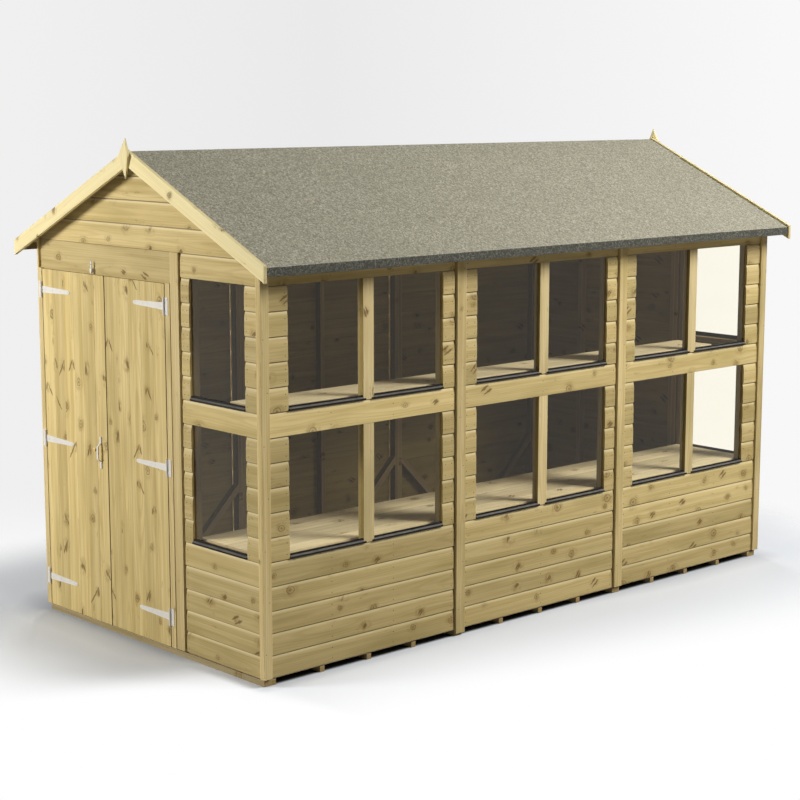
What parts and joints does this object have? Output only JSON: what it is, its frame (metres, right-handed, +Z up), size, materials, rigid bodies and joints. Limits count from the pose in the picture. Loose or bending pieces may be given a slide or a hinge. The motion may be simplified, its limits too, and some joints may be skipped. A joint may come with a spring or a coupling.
{
  "type": "potting shed",
  "caption": "Timber potting shed with a felted apex roof, shiplap walls, a glazed long side, double doors on strap hinges and a bench with a shelf inside.",
  "frame": {"origin": "middle of the floor's outline, on the ground under the bearers", "axes": "+Z up, +Y along the ridge towards the back gable, +X towards the glazed long wall; the doors face -Y"},
  "size_m": [2.06, 3.87, 2.4771],
  "materials": {
    "cladding_wood": "pressure treated shiplap, matt",
    "trim_wood": "planed and pressure treated, matt",
    "frame_wood": "sawn, matt",
    "board_wood": "planed, matt",
    "bearer_wood": "sawn and pressure treated, matt",
    "glass": "clear",
    "felt": "mineral roofing felt, granular",
    "black_plastic": "satin",
    "white_metal": "satin paint",
    "steel": "zinc plated",
    "brass": "polished"
  },
  "bodies": {
    "shed": {"back_bargeboards": "trim_wood", "back_cladding": "cladding_wood", "back_finial": "trim_wood", "back_frame": "frame_wood", "back_gable_boards": "cladding_wood", "bench_boards": "board_wood", "bench_frame": "frame_wood", "bolt_bracket": "white_metal", "corner_posts": "frame_wood", "corner_strips": "trim_wood", "door_linings": "trim_wood", "felt_left": "felt", "felt_right": "felt", "floor_bearers": "bearer_wood", "floor_boards": "board_wood", "front_bargeboards": "trim_wood", "front_cladding": "cladding_wood", "front_finial": "trim_wood", "front_frame": "frame_wood", "front_gable_boards": "cladding_wood", "gable_glazing": "glass", "hinge_plates": "white_metal", "joint_strips": "trim_wood", "plain_panel_1_cladding": "cladding_wood", "plain_panel_1_frame": "frame_wood", "plain_panel_2_cladding": "cladding_wood", "plain_panel_2_frame": "frame_wood", "plain_panel_3_cladding": "cladding_wood", "plain_panel_3_frame": "frame_wood", "ridge_felt_cap": "felt", "roof_boards_left": "board_wood", "roof_boards_right": "board_wood", "roof_frame": "frame_wood", "shelf_boards": "board_wood", "shelf_brackets": "frame_wood", "window_panel_1_cladding": "cladding_wood", "window_panel_1_frame": "frame_wood", "window_panel_1_glazing": "glass", "window_panel_2_cladding": "cladding_wood", "window_panel_2_frame": "frame_wood", "window_panel_2_glazing": "glass", "window_panel_3_cladding": "cladding_wood", "window_panel_3_frame": "frame_wood", "window_panel_3_glazing": "glass", "window_sills": "black_plastic"},
    "left_door": {"left_door_boards": "cladding_wood", "left_door_ledges": "frame_wood", "left_door_straps": "white_metal", "door_handle": "white_metal", "lock_case": "steel"},
    "right_door": {"right_door_boards": "cladding_wood", "right_door_ledges": "frame_wood", "right_door_straps": "white_metal", "lock_keep": "steel"},
    "door_top_bolt": {"top_bolt": "steel"},
    "lock_cylinder": {"lock_plug": "brass"},
    "lock_deadbolt": {"lock_bolt": "steel"}
  },
  "joints": [
    {"name": "left_door_swing", "type": "hinge", "parent": "shed", "child": "left_door", "pos_m": [-0.878, -1.858, 0.922], "axis": [0, 0, -1], "range_deg": [0, 165]},
    {"name": "right_door_swing", "type": "hinge", "parent": "shed", "child": "right_door", "pos_m": [0.196, -1.858, 0.922], "axis": [0, 0, 1], "range_deg": [0, 165]},
    {"name": "top_bolt_slide", "type": "slide", "parent": "shed", "child": "door_top_bolt", "axis": [0, 0, -1], "range_m": [0, 0.018]},
    {"name": "lock_turn", "type": "hinge", "parent": "left_door", "child": "lock_cylinder", "pos_m": [-0.428, -1.852, 0.925], "axis": [0, 1, 0], "range_deg": [0, 90]},
    {"name": "lock_bolt_slide", "type": "slide", "parent": "left_door", "child": "lock_deadbolt", "axis": [1, 0, 0], "range_m": [0, 0.024]}
  ],
  "couplings": [
    {"joint": "lock_turn", "follows": "lock_bolt_slide", "rad_per_m": 65.45}
  ]
}
